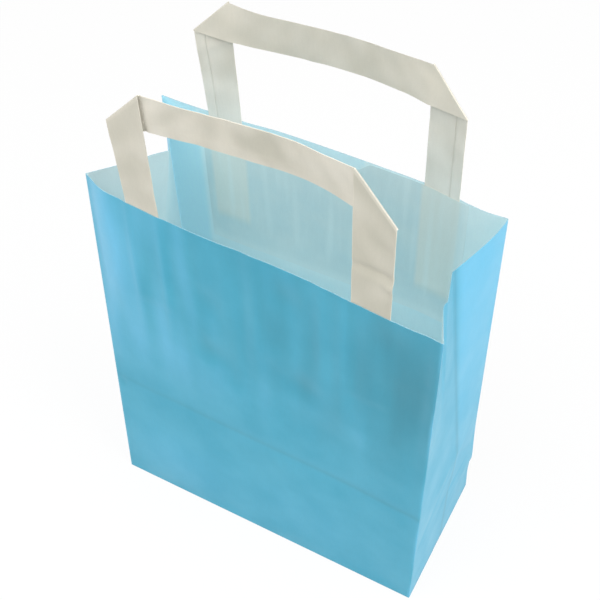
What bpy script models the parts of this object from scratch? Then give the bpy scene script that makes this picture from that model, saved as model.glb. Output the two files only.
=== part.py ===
"""Paper carrier bag: a block-bottomed paper bag with two flat tape handles.

The bag stands open. Its origin is the centre of the underside, X runs along the
wide panels, -Y is the front panel and Z is up. Lengths are in metres.
"""
from math import ceil, cos, pi, sin

import bmesh
import bpy
import numpy as np
from mathutils import Vector

# The bag as cut and folded
PANEL_WIDTH = 0.180
GUSSET_DEPTH = 0.080
PANEL_HEIGHT = 0.220
PAPER_THICKNESS = 0.0004

# Heights of the creases left by the flat-folded block bottom
BOTTOM_FOLD_HEIGHT = 0.047
PANEL_CREASE_HEIGHT = 0.084
PANEL_CREASE_DENT = 0.0010

# How far each corner of the mouth has moved from square over the base
FRONT_LEFT_LEAN = Vector((0.0040, 0.0084, 0.0))
FRONT_RIGHT_LEAN = Vector((0.0023, -0.0081, 0.0))
BACK_RIGHT_LEAN = Vector((-0.0009, -0.0116, 0.0))
BACK_LEFT_LEAN = Vector((0.0013, -0.0076, 0.0))

# Where the centre crease of each gusset runs, as a move from the flat side
RIGHT_CREASE_AT_MOUTH = Vector((-0.0100, -0.0104, -0.0013))
RIGHT_CREASE_AT_KNEE = Vector((0.0013, 0.0024, 0.0))
LEFT_CREASE_AT_MOUTH = Vector((0.0260, 0.0011, -0.0022))
LEFT_CREASE_AT_KNEE = Vector((0.0030, 0.0, 0.0))
KNEE_HEIGHT = 0.078

# Outward bow of the rims: share of the panel's width, and bow
FRONT_RIM_BOW = (
    (0.0, 0.0), (0.10, 0.0040), (0.33, 0.0041), (0.50, 0.0020),
    (0.65, 0.0005), (0.80, 0.0008), (0.92, 0.0017), (1.0, 0.0),
)
BACK_RIM_BOW = (
    (0.0, 0.0), (0.22, 0.0010), (0.38, 0.0046), (0.62, 0.0054),
    (0.77, 0.0042), (0.88, 0.0006), (0.95, -0.0009), (1.0, 0.0),
)
BOW_RISE = 1.4

# The tape handles: flat tape, folded at 45 degrees at both top corners
TAPE_WIDTH = 0.018
TAPE_THICKNESS = 0.0004
HANDLE_SPACING = 0.112
HANDLE_OFFSET = 0.002
LEG_GLUED_LENGTH = 0.062
FRONT_HANDLE_RISE = 0.0652
BACK_HANDLE_RISE = 0.0632

# Lean of the outer and the inner edge of each leg, left leg first, where it meets its fold
FRONT_LEG_LEANS = (
    (Vector((0.0016, -0.0047, 0.0)), Vector((0.0016, -0.0038, 0.0))),
    (Vector((-0.0003, 0.0, 0.0)), Vector((-0.0016, 0.0018, 0.0))),
)
BACK_LEG_LEANS = (
    (Vector((-0.0016, -0.0029, 0.0)), Vector((-0.0014, -0.0017, 0.0))),
    (Vector((0.0, -0.0035, 0.0)), Vector((-0.0002, -0.0023, 0.0))),
)

# Bow of each bar along +Y between its legs, for its lower and its upper edge
FRONT_BAR_LOW_BOW = (
    (0.0, 0.0), (0.30, 0.0006), (0.48, 0.0031), (0.68, 0.0045), (0.86, 0.0026), (1.0, 0.0),
)
FRONT_BAR_TOP_BOW = ((0.0, 0.0), (0.25, 0.0009), (0.75, 0.0011), (1.0, 0.0))
BACK_BAR_LOW_BOW = ((0.0, 0.0), (0.40, 0.0045), (0.64, 0.0049), (0.87, 0.0030), (1.0, 0.0))
BACK_BAR_TOP_BOW = ((0.0, 0.0), (0.16, -0.0011), (0.57, 0.0018), (1.0, 0.0))

# How far the folded-over bar stands off from its legs along its lower edge
FRONT_FOLD_OPENING = 0.0004
BACK_FOLD_OPENING = 0.0024

# The reinforcing patch over the glued ends of each handle
PATCH_WIDTH = 0.140
PATCH_HEIGHT = 0.078
PATCH_THICKNESS = 0.0003
PATCH_BELOW_RIM = 0.003
PATCH_RAMP = 0.004

# Clearance between one paper layer and the next
LAYER_GAP = 0.0003

# Longest step of the mesh across a panel, up a panel and across a gusset half
COLUMN_STEP = 0.0065
LEVEL_STEP = 0.021
GUSSET_HALF_STEPS = 4
TAPE_STEPS = 3
BAR_STEPS = 26
FOLD_STEPS = 4

# Distance over which a panel's slope is taken, and the slack when two places are compared
SLOPE_STEP = 0.0005
SLACK = 1e-6

BLUE = (0.115, 0.433, 0.604)
PALE = (0.42, 0.56, 0.58)
OFF_WHITE = (0.62, 0.58, 0.50)


def clear_scene():
    for old in list(bpy.data.objects):
        bpy.data.objects.remove(old, do_unlink=True)


def make_material(name, colour, roughness):
    material = bpy.data.materials.new(name)
    material.use_nodes = True
    shader = material.node_tree.nodes["Principled BSDF"]
    shader.inputs["Base Color"].default_value = (*colour, 1.0)
    shader.inputs["Roughness"].default_value = roughness
    shader.inputs["Metallic"].default_value = 0.0
    return material


def divide(stops, step):
    """All the stops in order, with even steps no longer than `step` between them."""
    stops = sorted(stops)
    places = [stops[0]]
    for low, high in zip(stops, stops[1:]):
        count = max(1, ceil((high - low) / step - SLACK))
        places += [low + (high - low) * i / count for i in range(1, count + 1)]
    return places


def leg_edges(side_sign):
    """Both edges of the left (-1) or right (+1) leg, measured from the panel's middle."""
    middle = HANDLE_OFFSET + side_sign * HANDLE_SPACING / 2
    return middle - TAPE_WIDTH / 2, middle + TAPE_WIDTH / 2


def patch_edges():
    return HANDLE_OFFSET - PATCH_WIDTH / 2, HANDLE_OFFSET + PATCH_WIDTH / 2


def panel_columns():
    """Places across a wide panel, from its middle, where the mesh has a column."""
    stops = [-PANEL_WIDTH / 2, PANEL_WIDTH / 2, *patch_edges(), *leg_edges(-1), *leg_edges(1)]
    return divide(stops, COLUMN_STEP)


def panel_levels():
    """Heights at which the mesh has a row, from the underside's mid-surface to the rim."""
    patch_top = PANEL_HEIGHT - PATCH_BELOW_RIM
    stops = [
        PAPER_THICKNESS / 2, BOTTOM_FOLD_HEIGHT, KNEE_HEIGHT, PANEL_CREASE_HEIGHT,
        patch_top - PATCH_HEIGHT, PANEL_HEIGHT - LEG_GLUED_LENGTH, patch_top, PANEL_HEIGHT,
    ]
    return divide(stops, LEVEL_STEP)


def smooth_curve(points, at):
    """A smooth line through (place, value) points, with the slopes of its neighbours."""
    places = np.array([p[0] for p in points])
    values = np.array([p[1] for p in points])
    slopes = np.gradient(values, places)
    i = int(np.clip(np.searchsorted(places, at) - 1, 0, len(places) - 2))
    width = places[i + 1] - places[i]
    t = (at - places[i]) / width
    return float(
        (2 * t**3 - 3 * t**2 + 1) * values[i] + (t**3 - 2 * t**2 + t) * width * slopes[i]
        + (3 * t**2 - 2 * t**3) * values[i + 1] + (t**3 - t**2) * width * slopes[i + 1]
    )


def corner(x_sign, y_sign, height):
    """A corner edge of the bag at one height: square at the base, leaning to the mouth."""
    lean = {
        (-1, -1): FRONT_LEFT_LEAN, (1, -1): FRONT_RIGHT_LEAN,
        (1, 1): BACK_RIGHT_LEAN, (-1, 1): BACK_LEFT_LEAN,
    }[x_sign, y_sign]
    foot = Vector((x_sign * PANEL_WIDTH / 2, y_sign * GUSSET_DEPTH / 2, height))
    return foot + lean * (height / PANEL_HEIGHT)


def crease_dent(height):
    """How far the panel crease pulls a wide panel inwards at one height."""
    above = (height - PANEL_CREASE_HEIGHT) / (PANEL_HEIGHT - PANEL_CREASE_HEIGHT)
    below = (PANEL_CREASE_HEIGHT - height) / PANEL_CREASE_HEIGHT
    return PANEL_CREASE_DENT * (1 - max(above, below))


def wide_panel_point(y_sign, across, height):
    """A point of the front (-1) or back (+1) panel's mid-surface."""
    share = across / PANEL_WIDTH + 0.5
    start = corner(-1, y_sign, height)
    end = corner(1, y_sign, height)
    bow_points = FRONT_RIM_BOW if y_sign < 0 else BACK_RIM_BOW
    bow = smooth_curve(bow_points, share) * (height / PANEL_HEIGHT) ** BOW_RISE
    dent = crease_dent(height) * sin(pi * share)
    return start.lerp(end, share) + Vector((0.0, y_sign * (bow - dent), 0.0))


def gusset_crease(x_sign, height):
    """The gusset's centre crease: flat below the knee, pushed in above it."""
    at_knee = RIGHT_CREASE_AT_KNEE if x_sign > 0 else LEFT_CREASE_AT_KNEE
    at_mouth = RIGHT_CREASE_AT_MOUTH if x_sign > 0 else LEFT_CREASE_AT_MOUTH
    if height < BOTTOM_FOLD_HEIGHT:
        move = Vector((0.0, 0.0, 0.0))
    elif height < KNEE_HEIGHT:
        move = at_knee * ((height - BOTTOM_FOLD_HEIGHT) / (KNEE_HEIGHT - BOTTOM_FOLD_HEIGHT))
    else:
        move = at_knee.lerp(at_mouth, (height - KNEE_HEIGHT) / (PANEL_HEIGHT - KNEE_HEIGHT))
    return Vector((x_sign * PANEL_WIDTH / 2, 0.0, height)) + move


def gusset_point(x_sign, share, height):
    """A point of a side gusset, where share runs from the front edge to the back edge."""
    crease = gusset_crease(x_sign, height)
    if share < 0.5:
        return corner(x_sign, -1, height).lerp(crease, share * 2)
    return crease.lerp(corner(x_sign, 1, height), share * 2 - 1)


def inside_point(y_sign, across, height, offset):
    """A point `offset` inwards from a wide panel's mid-surface, square to it."""
    along = wide_panel_point(y_sign, across + SLOPE_STEP, height)
    along -= wide_panel_point(y_sign, across - SLOPE_STEP, height)
    upward = wide_panel_point(y_sign, across, height)
    upward -= wide_panel_point(y_sign, across, height - SLOPE_STEP)
    normal = along.cross(upward).normalized()
    if normal.y * y_sign > 0:
        normal.negate()
    return wide_panel_point(y_sign, across, height) + normal * offset


def finish(name, bm, thickness, material, collection):
    """Turn an open sheet into an object whose wall is given by Solidify."""
    bmesh.ops.recalc_face_normals(bm, faces=bm.faces)
    mesh = bpy.data.meshes.new(name)
    bm.to_mesh(mesh)
    bm.free()
    mesh.materials.append(material)
    part = bpy.data.objects.new(name, mesh)
    collection.objects.link(part)
    wall = part.modifiers.new("paper wall", "SOLIDIFY")
    wall.thickness = thickness
    wall.offset = 0.0
    wall.use_even_offset = True
    wall.use_rim = True
    return part


def extrude_to(bm, edges, place):
    """Extrude a chain of edges and put each new vertex where `place` says its old one goes."""
    old = {vert for edge in edges for vert in edge.verts}
    made = bmesh.ops.extrude_edge_only(bm, edges=edges)["geom"]
    fresh = [item for item in made if isinstance(item, bmesh.types.BMVert)]
    follows = {}
    for vert in fresh:
        for edge in vert.link_edges:
            other = edge.other_vert(vert)
            if other in old:
                follows[vert] = other
    for vert, source in follows.items():
        vert.co = place(source)
    new_edges = [
        item for item in made
        if isinstance(item, bmesh.types.BMEdge) and all(v in follows for v in item.verts)
    ]
    return new_edges, follows


def build_bag(collection):
    """One folded sheet: a block bottom, two wide panels and two creased gussets."""
    columns = panel_columns()
    levels = panel_levels()
    gusset_steps = 2 * GUSSET_HALF_STEPS
    bm = bmesh.new()
    bmesh.ops.create_grid(bm, x_segments=len(columns) - 1, y_segments=gusset_steps, size=1.0)
    places = {}
    for vert in bm.verts:
        i = round((vert.co.x + 1) / 2 * (len(columns) - 1))
        j = round((vert.co.y + 1) / 2 * gusset_steps)
        if j in (0, gusset_steps):
            places[vert] = ("wide", -1 if j == 0 else 1, columns[i])
        elif i in (0, len(columns) - 1):
            places[vert] = ("gusset", -1 if i == 0 else 1, j / gusset_steps)
        vert.co = (columns[i], (j / gusset_steps - 0.5) * GUSSET_DEPTH, levels[0])
    rim = [edge for edge in bm.edges if edge.is_boundary]
    for height in levels[1:]:

        def wall(source, height=height):
            kind, sign, where = places[source]
            if kind == "wide":
                return wide_panel_point(sign, where, height)
            return gusset_point(sign, where, height)

        rim, follows = extrude_to(bm, rim, wall)
        for vert, source in follows.items():
            places[vert] = places[source]
    material = make_material("blue printed paper", BLUE, 0.65)
    return finish("paper_bag", bm, PAPER_THICKNESS, material, collection)


class Tape:
    """Where one handle's tape runs: glued inside its panel, then free above the rim."""

    def __init__(self, y_sign, rise, leans, low_bow, top_bow, opening):
        self.y_sign = y_sign
        self.fold_foot = rise - TAPE_WIDTH
        self.leans = leans
        self.low_bow = low_bow
        self.top_bow = top_bow
        self.opening = opening
        self.wall_offset = (PAPER_THICKNESS + TAPE_THICKNESS) / 2 + LAYER_GAP
        self.turn = TAPE_THICKNESS + LAYER_GAP

    def across(self, x_sign, share):
        """Place on the panel of a line along a leg, from its outer edge (0) to its inner (1)."""
        low, high = leg_edges(x_sign)
        outer, inner = (low, high) if x_sign < 0 else (high, low)
        return outer + (inner - outer) * share

    def glued(self, x_sign, share, level):
        """A point of the glued stretch of a leg, up to the rim."""
        return inside_point(self.y_sign, self.across(x_sign, share), level, self.wall_offset)

    def free(self, x_sign, share, height):
        """A point of the free stretch of a leg, at a height above the rim."""
        outer_lean, inner_lean = self.leans[0 if x_sign < 0 else 1]
        lean = outer_lean.lerp(inner_lean, share) * (height / self.fold_top(share))
        return self.glued(x_sign, share, PANEL_HEIGHT) + lean + Vector((0.0, 0.0, height))

    def fold_top(self, share):
        """Height of the diagonal fold above the rim, on one line along the tape."""
        return self.fold_foot + TAPE_WIDTH * share

    def leg_rows(self, x_sign):
        """Rows across one leg, from its glued end to the far side of its diagonal fold."""
        shares = [i / TAPE_STEPS for i in range(TAPE_STEPS + 1)]
        glued_end = PANEL_HEIGHT - LEG_GLUED_LENGTH
        levels = [level for level in panel_levels() if level > glued_end - SLACK]
        rows = [[self.glued(x_sign, share, level) for share in shares] for level in levels]
        for part_way in divide([0.0, self.fold_foot], LEVEL_STEP)[1:]:
            rise = part_way / self.fold_foot
            rows.append([self.free(x_sign, s, rise * self.fold_top(s)) for s in shares])
        diagonal = rows[-1]
        outward = Vector((x_sign, 0.0, 1.0)).normalized()
        inward = Vector((0.0, -self.y_sign, 0.0))
        for i in range(1, FOLD_STEPS + 1):
            angle = pi * i / FOLD_STEPS
            shift = inward * (1 - cos(angle)) + outward * sin(angle)
            rows.append([point + shift * (self.turn / 2) for point in diagonal])
        return rows

    def bar_depth(self, x, share):
        """Y of the bar at one place along X, on the line that is `share` up its width."""
        height = self.fold_top(share)
        stand_off = self.opening * (1 - share)
        inner = [self.free(x_sign, 1.0, height) for x_sign in (-1, 1)]
        between = (x - inner[0].x) / (inner[1].x - inner[0].x)
        if 0.0 < between < 1.0:
            low = smooth_curve(self.low_bow, between)
            top = smooth_curve(self.top_bow, between)
            leg_depth = inner[0].y + (inner[1].y - inner[0].y) * between
            bow = low + (top - low) * share
            return leg_depth - self.y_sign * (self.turn + stand_off) + bow
        x_sign = -1 if between <= 0.0 else 1
        edge = inner[0] if x_sign < 0 else inner[1]
        fold = self.free(x_sign, share, height)
        over = (x - fold.x) / (edge.x - fold.x) if share < 1.0 else 1.0
        leg_depth = self.free(x_sign, share + (1 - share) * over, height).y
        return leg_depth - self.y_sign * (self.turn + stand_off * over)

    def rows(self):
        """Every row across the tape, from the left leg's glued end to the right leg's."""
        left = self.leg_rows(-1)
        right = self.leg_rows(1)
        bar = []
        for i in range(1, BAR_STEPS):
            row = []
            for k, (start, end) in enumerate(zip(left[-1], right[-1])):
                point = start.lerp(end, i / BAR_STEPS)
                point.y = self.bar_depth(point.x, k / TAPE_STEPS)
                row.append(point)
            bar.append(row)
        return left + bar + right[::-1]


def front_tape():
    return Tape(
        -1, FRONT_HANDLE_RISE, FRONT_LEG_LEANS,
        FRONT_BAR_LOW_BOW, FRONT_BAR_TOP_BOW, FRONT_FOLD_OPENING,
    )


def back_tape():
    return Tape(
        1, BACK_HANDLE_RISE, BACK_LEG_LEANS,
        BACK_BAR_LOW_BOW, BACK_BAR_TOP_BOW, BACK_FOLD_OPENING,
    )


def build_handle(name, tape, material, collection):
    """One length of flat tape: two legs outside, the bar behind them, folded at 45 degrees."""
    rows = tape.rows()
    bm = bmesh.new()
    verts = [bm.verts.new(point) for point in rows[0]]
    order = {vert: i for i, vert in enumerate(verts)}
    edges = [bm.edges.new(pair) for pair in zip(verts, verts[1:])]
    for row in rows[1:]:
        edges, follows = extrude_to(bm, edges, lambda source, row=row: row[order[source]])
        order = {vert: order[source] for vert, source in follows.items()}
    return finish(name, bm, TAPE_THICKNESS, material, collection)


def over_leg(across):
    """1 over a leg of the handle and 0 away from it, with a ramp at each edge."""
    share = 0.0
    for x_sign in (-1, 1):
        low, high = leg_edges(x_sign)
        outside = max(low - across, across - high, 0.0)
        share = max(share, 1 - outside / PATCH_RAMP)
    return share


def build_patch(name, y_sign, material, collection):
    """A paper patch glued over both legs of one handle, on the inside of a wide panel."""
    on_wall = (PAPER_THICKNESS + PATCH_THICKNESS) / 2 + LAYER_GAP
    lift = TAPE_THICKNESS + LAYER_GAP
    low, high = patch_edges()
    ramps = [edge + side * PATCH_RAMP for x in (-1, 1) for side, edge in zip((-1, 1), leg_edges(x))]
    top = PANEL_HEIGHT - PATCH_BELOW_RIM
    columns = [u for u in panel_columns() if low - SLACK < u < high + SLACK]
    columns = divide(columns + [u for u in ramps if low < u < high], COLUMN_STEP)
    levels = [v for v in panel_levels() if top - PATCH_HEIGHT - SLACK < v < top + SLACK]
    bm = bmesh.new()
    bmesh.ops.create_grid(bm, x_segments=len(columns) - 1, y_segments=len(levels) - 1, size=1.0)
    for vert in bm.verts:
        u = columns[round((vert.co.x + 1) / 2 * (len(columns) - 1))]
        v = levels[round((vert.co.y + 1) / 2 * (len(levels) - 1))]
        vert.co = inside_point(y_sign, u, v, on_wall + lift * over_leg(u))
    return finish(name, bm, PATCH_THICKNESS, material, collection)


def main():
    clear_scene()
    collection = bpy.data.collections.new("paper carrier bag")
    bpy.context.scene.collection.children.link(collection)
    tape = make_material("off-white paper tape", OFF_WHITE, 0.7)
    lining = make_material("pale paper patch", PALE, 0.75)
    build_bag(collection)
    build_handle("front_handle", front_tape(), tape, collection)
    build_handle("back_handle", back_tape(), tape, collection)
    build_patch("front_handle_patch", -1, lining, collection)
    build_patch("back_handle_patch", 1, lining, collection)


main()
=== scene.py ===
"""Paper carrier bag: the finish of every surface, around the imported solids.

The frame is the bag's own: origin under the middle of the base, X along the wide
panels, -Y out of the front panel, Z up. Lengths are in metres unless a comment says mm.
"""
from math import ceil, cos, exp, hypot, pi, radians, sin

import bmesh
import bpy
from mathutils import Matrix, Vector, noise


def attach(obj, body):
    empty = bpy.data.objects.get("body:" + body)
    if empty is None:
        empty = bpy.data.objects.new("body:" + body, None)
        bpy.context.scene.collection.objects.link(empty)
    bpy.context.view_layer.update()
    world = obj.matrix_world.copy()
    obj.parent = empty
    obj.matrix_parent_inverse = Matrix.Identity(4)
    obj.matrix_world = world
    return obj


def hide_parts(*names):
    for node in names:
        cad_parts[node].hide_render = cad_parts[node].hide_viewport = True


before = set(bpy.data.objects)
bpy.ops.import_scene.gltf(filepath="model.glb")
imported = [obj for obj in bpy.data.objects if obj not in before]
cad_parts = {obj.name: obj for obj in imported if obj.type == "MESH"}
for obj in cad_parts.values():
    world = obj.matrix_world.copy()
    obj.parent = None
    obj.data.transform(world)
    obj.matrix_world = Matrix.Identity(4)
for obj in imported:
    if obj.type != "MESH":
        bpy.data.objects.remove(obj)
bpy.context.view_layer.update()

MM = 0.001

# The bag as cut and folded
PANEL_WIDTH = 0.180
GUSSET_DEPTH = 0.080
PANEL_HEIGHT = 0.220
SHEET_THICKNESS = 0.00025
BOTTOM_FOLD_HEIGHT = 0.047
PANEL_CREASE_HEIGHT = 0.084
PANEL_CREASE_DENT = 0.0010
KNEE_HEIGHT = 0.078

# How far each corner of the mouth has moved from square over the base
CORNER_LEANS = {
    (-1, -1): Vector((0.0040, 0.0084, 0.0)),
    (1, -1): Vector((0.0023, -0.0081, 0.0)),
    (1, 1): Vector((-0.0009, -0.0116, 0.0)),
    (-1, 1): Vector((0.0013, -0.0076, 0.0)),
}

# Where the centre crease of each gusset runs, as a move from the flat side
CREASE_AT_MOUTH = {1: Vector((-0.0100, -0.0104, -0.0013)), -1: Vector((0.0260, 0.0011, -0.0022))}
CREASE_AT_KNEE = {1: Vector((0.0013, 0.0024, 0.0)), -1: Vector((0.0030, 0.0, 0.0))}

# Outward bow of the rims: share of the panel's width, and bow
RIM_BOWS = {
    -1: (
        (0.0, 0.0), (0.10, 0.0040), (0.33, 0.0041), (0.50, 0.0020),
        (0.65, 0.0005), (0.80, 0.0008), (0.92, 0.0017), (1.0, 0.0),
    ),
    1: (
        (0.0, 0.0), (0.22, 0.0008), (0.38, 0.0031), (0.62, 0.0040),
        (0.77, 0.0037), (0.88, 0.0006), (0.95, -0.0009), (1.0, 0.0),
    ),
}
BOW_RISE = 1.4

# The gussets' own bow at the mouth, inwards: share of the half, and bow
RIGHT_FRONT_HALF_BOW = ((0.0, 0.0), (0.30, 0.0012), (0.50, 0.0018), (0.55, 0.0005), (1.0, 0.0))
RIGHT_REAR_HALF_BOW = ((0.0, 0.0), (0.35, -0.0008), (0.70, -0.0010), (1.0, 0.0))
LEFT_FRONT_HALF_BOW = ((0.0, 0.0), (0.50, 0.0006), (0.85, -0.0004), (1.0, 0.0))
LEFT_REAR_HALF_BOW = ((0.0, 0.0), (0.40, 0.0010), (1.0, 0.0))

# The tape handles
TAPE_WIDTH = 0.018
TAPE_THICKNESS = 0.0003
HANDLE_SPACING = 0.112
HANDLE_OFFSET = 0.002
LEG_GLUED_LENGTH = 0.062
HANDLE_RISES = {-1: 0.0652, 1: 0.0632}
TAPE_SEAM = 0.005
TAPE_FLAP_THICKNESS = {-1: 0.00002, 1: 0.00012}
SEAM_GROOVE = {-1: 1.0, 1: 2.5}

# Lean of the outer and the inner edge of each leg, left leg first, where it meets its fold
LEG_LEANS = {
    -1: (
        (Vector((0.0016, -0.0047, 0.0)), Vector((0.0016, -0.0038, 0.0))),
        (Vector((-0.0003, 0.0, 0.0)), Vector((-0.0016, 0.0018, 0.0))),
    ),
    1: (
        (Vector((-0.0016, -0.0029, 0.0)), Vector((-0.0014, -0.0017, 0.0))),
        (Vector((0.0, -0.0035, 0.0)), Vector((-0.0002, -0.0023, 0.0))),
    ),
}

# Bow of each bar along +Y between its legs, for its lower and its upper edge
BAR_LOW_BOWS = {
    -1: ((0.0, 0.0), (0.24, 0.0026), (0.48, 0.0041), (0.70, 0.0054), (0.86, 0.0034), (1.0, 0.0)),
    1: ((0.0, 0.0), (0.40, 0.0045), (0.64, 0.0049), (0.87, 0.0030), (1.0, 0.0)),
}
BAR_TOP_BOWS = {
    -1: (
        (0.0, 0.0), (0.25, 0.0012), (0.45, 0.0025), (0.58, 0.0034),
        (0.72, 0.0033), (0.86, 0.0015), (1.0, 0.0),
    ),
    1: ((0.0, 0.0), (0.16, -0.0011), (0.57, 0.0018), (1.0, 0.0)),
}

# How far each bar's lower edge stands off its legs, where the folds have sprung open
FOLD_OPENINGS = {-1: 0.0004, 1: 0.0024}

# How the front bar curls away beside its left leg: depth and reach, how far from the leg's inner
# edge it is deepest, and the share that it loses up to the bar's upper edge
BAR_CURL = {-1: (0.0006, 0.0006), 1: (0.0, 0.0006)}
CURL_FROM_LEG = 0.0004
CURL_LOSS = 0.4

# Creases and dents of each tape: stretch, height on a leg or X on the bar in mm, slant in mm across
# the tape, reach in mm, middle and spread across the tape, outward move in mm
TAPE_DENTS = {
    -1: (
        ("right", 21.0, -1.0, 2.4, 0.45, 0.60, -1.2),
        ("right", 16.5, 0.0, 2.0, 0.08, 0.16, 0.9),
        ("right", 36.0, 5.0, 3.0, 0.30, 0.30, -0.35),
        ("left", 30.0, -6.0, 3.5, 0.60, 0.35, -0.35),
        ("left", 12.0, 4.0, 3.0, 0.70, 0.30, 0.30),
        ("bar", -16.0, 5.0, 3.5, 0.45, 0.45, -0.8),
        ("bar", -2.0, -4.0, 3.0, 0.55, 0.45, -0.7),
        ("bar", 14.0, 3.0, 2.0, 0.25, 0.18, 0.5),
        ("bar", 24.0, 0.0, 1.6, 0.60, 0.15, 0.5),
        ("bar", 6.0, 6.0, 4.0, 0.80, 0.30, 0.4),
    ),
    1: (
        ("left", 40.0, 10.0, 3.5, 0.55, 0.50, -0.5),
        ("left", 22.0, -4.0, 5.0, 0.60, 0.40, 0.35),
        ("bar", -30.0, 6.0, 5.0, 0.50, 0.50, -0.4),
        ("bar", -4.0, 4.0, 3.0, 0.35, 0.45, -0.5),
        ("bar", 12.0, -5.0, 5.0, 0.60, 0.40, 0.35),
        ("right", 34.0, 5.0, 4.0, 0.60, 0.40, 0.30),
    ),
}

# The reinforcing patch over the glued ends of each handle
PATCH_WIDTH = 0.140
PATCH_HEIGHT = 0.078
PATCH_THICKNESS = 0.00008
PATCH_END_RAMP = 0.008
PATCH_RAMP = 0.002

# Its upper edge below the rim, left and right of a kink: the back patch is glued on askew
PATCH_BELOW_RIM = {-1: (0.003, 0.003), 1: (0.0062, 0.0009)}
PATCH_KINK = 0.019
PATCH_KINK_WIDTH = 0.008

# How closely glued layers lie, and the turn of the tape at its folds
GLUE_GAP = 0.00005
FOLD_GAP = 0.0003

# The block bottom's flaps: how far the front one laps past the middle, each layer's rise and edge
FLAP_OVERLAP = 0.012
FLAP_RISE = 0.00012
FLAP_EDGE = 0.0003
FLAP_FROM_FOLD = 0.001

# Folded edges: their radius, and the least angle that gets one; the rim's teeth; the width of the
# tape's paler edge, rubbed and with a painted highlight, and the width of the step at its seam
FOLD_RADIUS = 0.00045
ROUNDED_FOLD_ANGLE = radians(50)
SHARP_ANGLE = radians(35)
RIM_TOOTH = 0.00004
TAPE_RUBBED = 0.0005
SEAM_STEP = 0.00012

# Corners closer than this are one, and so are a cut and a corner closer than the second
SAME_PLACE = 1e-6
ON_CUT = 1e-7

# The right rear edge, in mm: start, end, fade and size of the step outwards above its foot, and
# height, reach and depth of the dip below that
REAR_EDGE_STEP = (28.0, 31.0, 22.0, 0.9)
REAR_EDGE_DIP = (16.0, 9.0, 0.4)

# Waves of handled paper: length across, length up and rise in mm of each; and a tape's crinkles:
# length along, waves across and rise in mm of each
RIPPLES = ((0.045, 0.060, 0.55), (0.014, 0.030, 0.10))
CRINKLES = ((0.012, 1.6, 0.22), (0.035, 0.8, 0.30))
GUSSET_RIPPLE = 0.6

# The glued legs press a wide panel outwards: how far, and over what height that starts
LEG_LIFT = 0.3 * MM
LEG_LIFT_RAMP = 0.004

# The panel crease in mm: rounding, reach, and depth at the middle and its gain to the right end
PANEL_CREASE_ROUNDING = 2.2
PANEL_CREASE_REACH = 3.5
PANEL_CREASE_DEPTH = (0.30, 0.15)

# Folds of the gussets in mm: their depth; height and reach of the level one, with the middle and
# spread of its depth; height at the centre, slope and reach of the diagonals, and where they start
GUSSET_FOLD_DEPTH = 0.35
LEVEL_FOLD = (47.0, 2.4, 8.0, 16.0)
DIAGONAL_FOLDS = (77.5, 0.77, 4.0)
DIAGONALS_START = (42.0, 14.0)

# The gussets' bow grows from this share of the height, over this much of it
GUSSET_BOW_START = (0.55, 0.45)

# Where the relief of a panel and of half a gusset starts, as a share of its width, and above the foot
PANEL_HOLD = 0.04
HALF_GUSSET_HOLD = 0.08
FOOT_HOLD = 0.010

# Mesh steps
COLUMN_STEP = 0.0016
LEVEL_STEP = 0.0024
CREASE_STEPS_MM = (-3.0, -1.8, -1.0, -0.5, 0.0, 0.5, 1.0, 1.8, 3.0)
TAPE_STEP = 0.0012
TAPE_ROW_STEP = 0.0008
FOLD_STEPS = 8
SLOPE_STEP = 0.0005

# Marks on the sheets that the papers' colours follow
MARKS = ("shade_and_streaks", "lit_and_worn", "tint", "flap", "soil_and_shade")

# Soft dents and swellings of the front panel, in mm: across, height, reach both ways, outward move
FRONT_DENTS = (
    (80.0, 180.0, 18.0, 42.0, -2.2),
    (-56.0, 184.0, 4.5, 34.0, -0.30),
    (-64.0, 182.0, 1.8, 36.0, 0.50),
    (-47.0, 180.0, 1.8, 34.0, 0.50),
    (-41.0, 172.0, 3.0, 30.0, -0.20),
    (-5.0, 180.0, 3.0, 38.0, -0.65),
    (2.0, 186.0, 2.5, 34.0, 0.40),
    (-14.0, 196.0, 3.5, 26.0, 0.25),
    (30.0, 190.0, 3.0, 30.0, -0.35),
    (35.0, 188.0, 2.0, 28.0, 0.30),
    (16.5, 203.0, 7.0, 9.0, -0.90),
    (-24.0, 178.0, 6.0, 10.0, -0.70),
    (-23.6, 142.5, 7.0, 8.0, -0.70),
    (25.0, 146.0, 9.0, 9.0, -0.90),
    (-87.0, 80.0, 3.0, 4.0, -0.60),
    (46.0, 185.0, 3.0, 36.0, 0.55),
    (52.0, 178.0, 4.0, 36.0, -0.60),
    (74.0, 150.0, 12.0, 40.0, -0.60),
    (-78.0, 190.0, 8.0, 36.0, 2.00),
    (-86.0, 130.0, 6.0, 30.0, 0.50),
    (-30.0, 120.0, 20.0, 18.0, 0.40),
    (25.0, 176.0, 20.0, 22.0, -0.50),
    (42.0, 122.0, 26.0, 16.0, -0.45),
    (-55.0, 30.0, 30.0, 25.0, 0.75),
    (30.0, 35.0, 30.0, 22.0, 0.30),
    (66.0, 206.0, 9.0, 10.0, -0.50),
    (10.0, 160.0, 5.0, 8.0, 0.40),
    (-12.0, 128.0, 6.0, 9.0, -0.40),
    (58.0, 128.0, 5.0, 14.0, 0.35),
)

# The print's painted shade and light: how much darker it is painted over the patch and over a leg,
# where less light comes through, and per mm of dent, darker in dents and paler on swellings; the
# painted light that makes the front's upper left paler (amount, where that starts and its ramp, in mm
# across and up); its streaks (amount, length across, length up, and over what height they grow)
SHADE_OVER_PATCH = 0.10
SHADE_OVER_LEG = 0.10
SHADE_AND_LIGHT_PER_DENT_MM = 0.42
PAINTED_LIGHT_LEFT = (0.45, 15.0, 45.0, 80.0, 60.0)
PRINT_STREAKS = (0.40, 0.008, 0.050, 0.070)

# Painted shade and light along the panel crease, in mm above it: middle and reach of the painted
# shade band and its amount at the middle and gain to the right; amount, middle and reach of the
# painted highlight line
CREASE_SHADE_BAND = (0.6, 2.2, 0.28, 0.10)
CREASE_HIGHLIGHT = (0.06, -1.5, 1.2)
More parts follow.
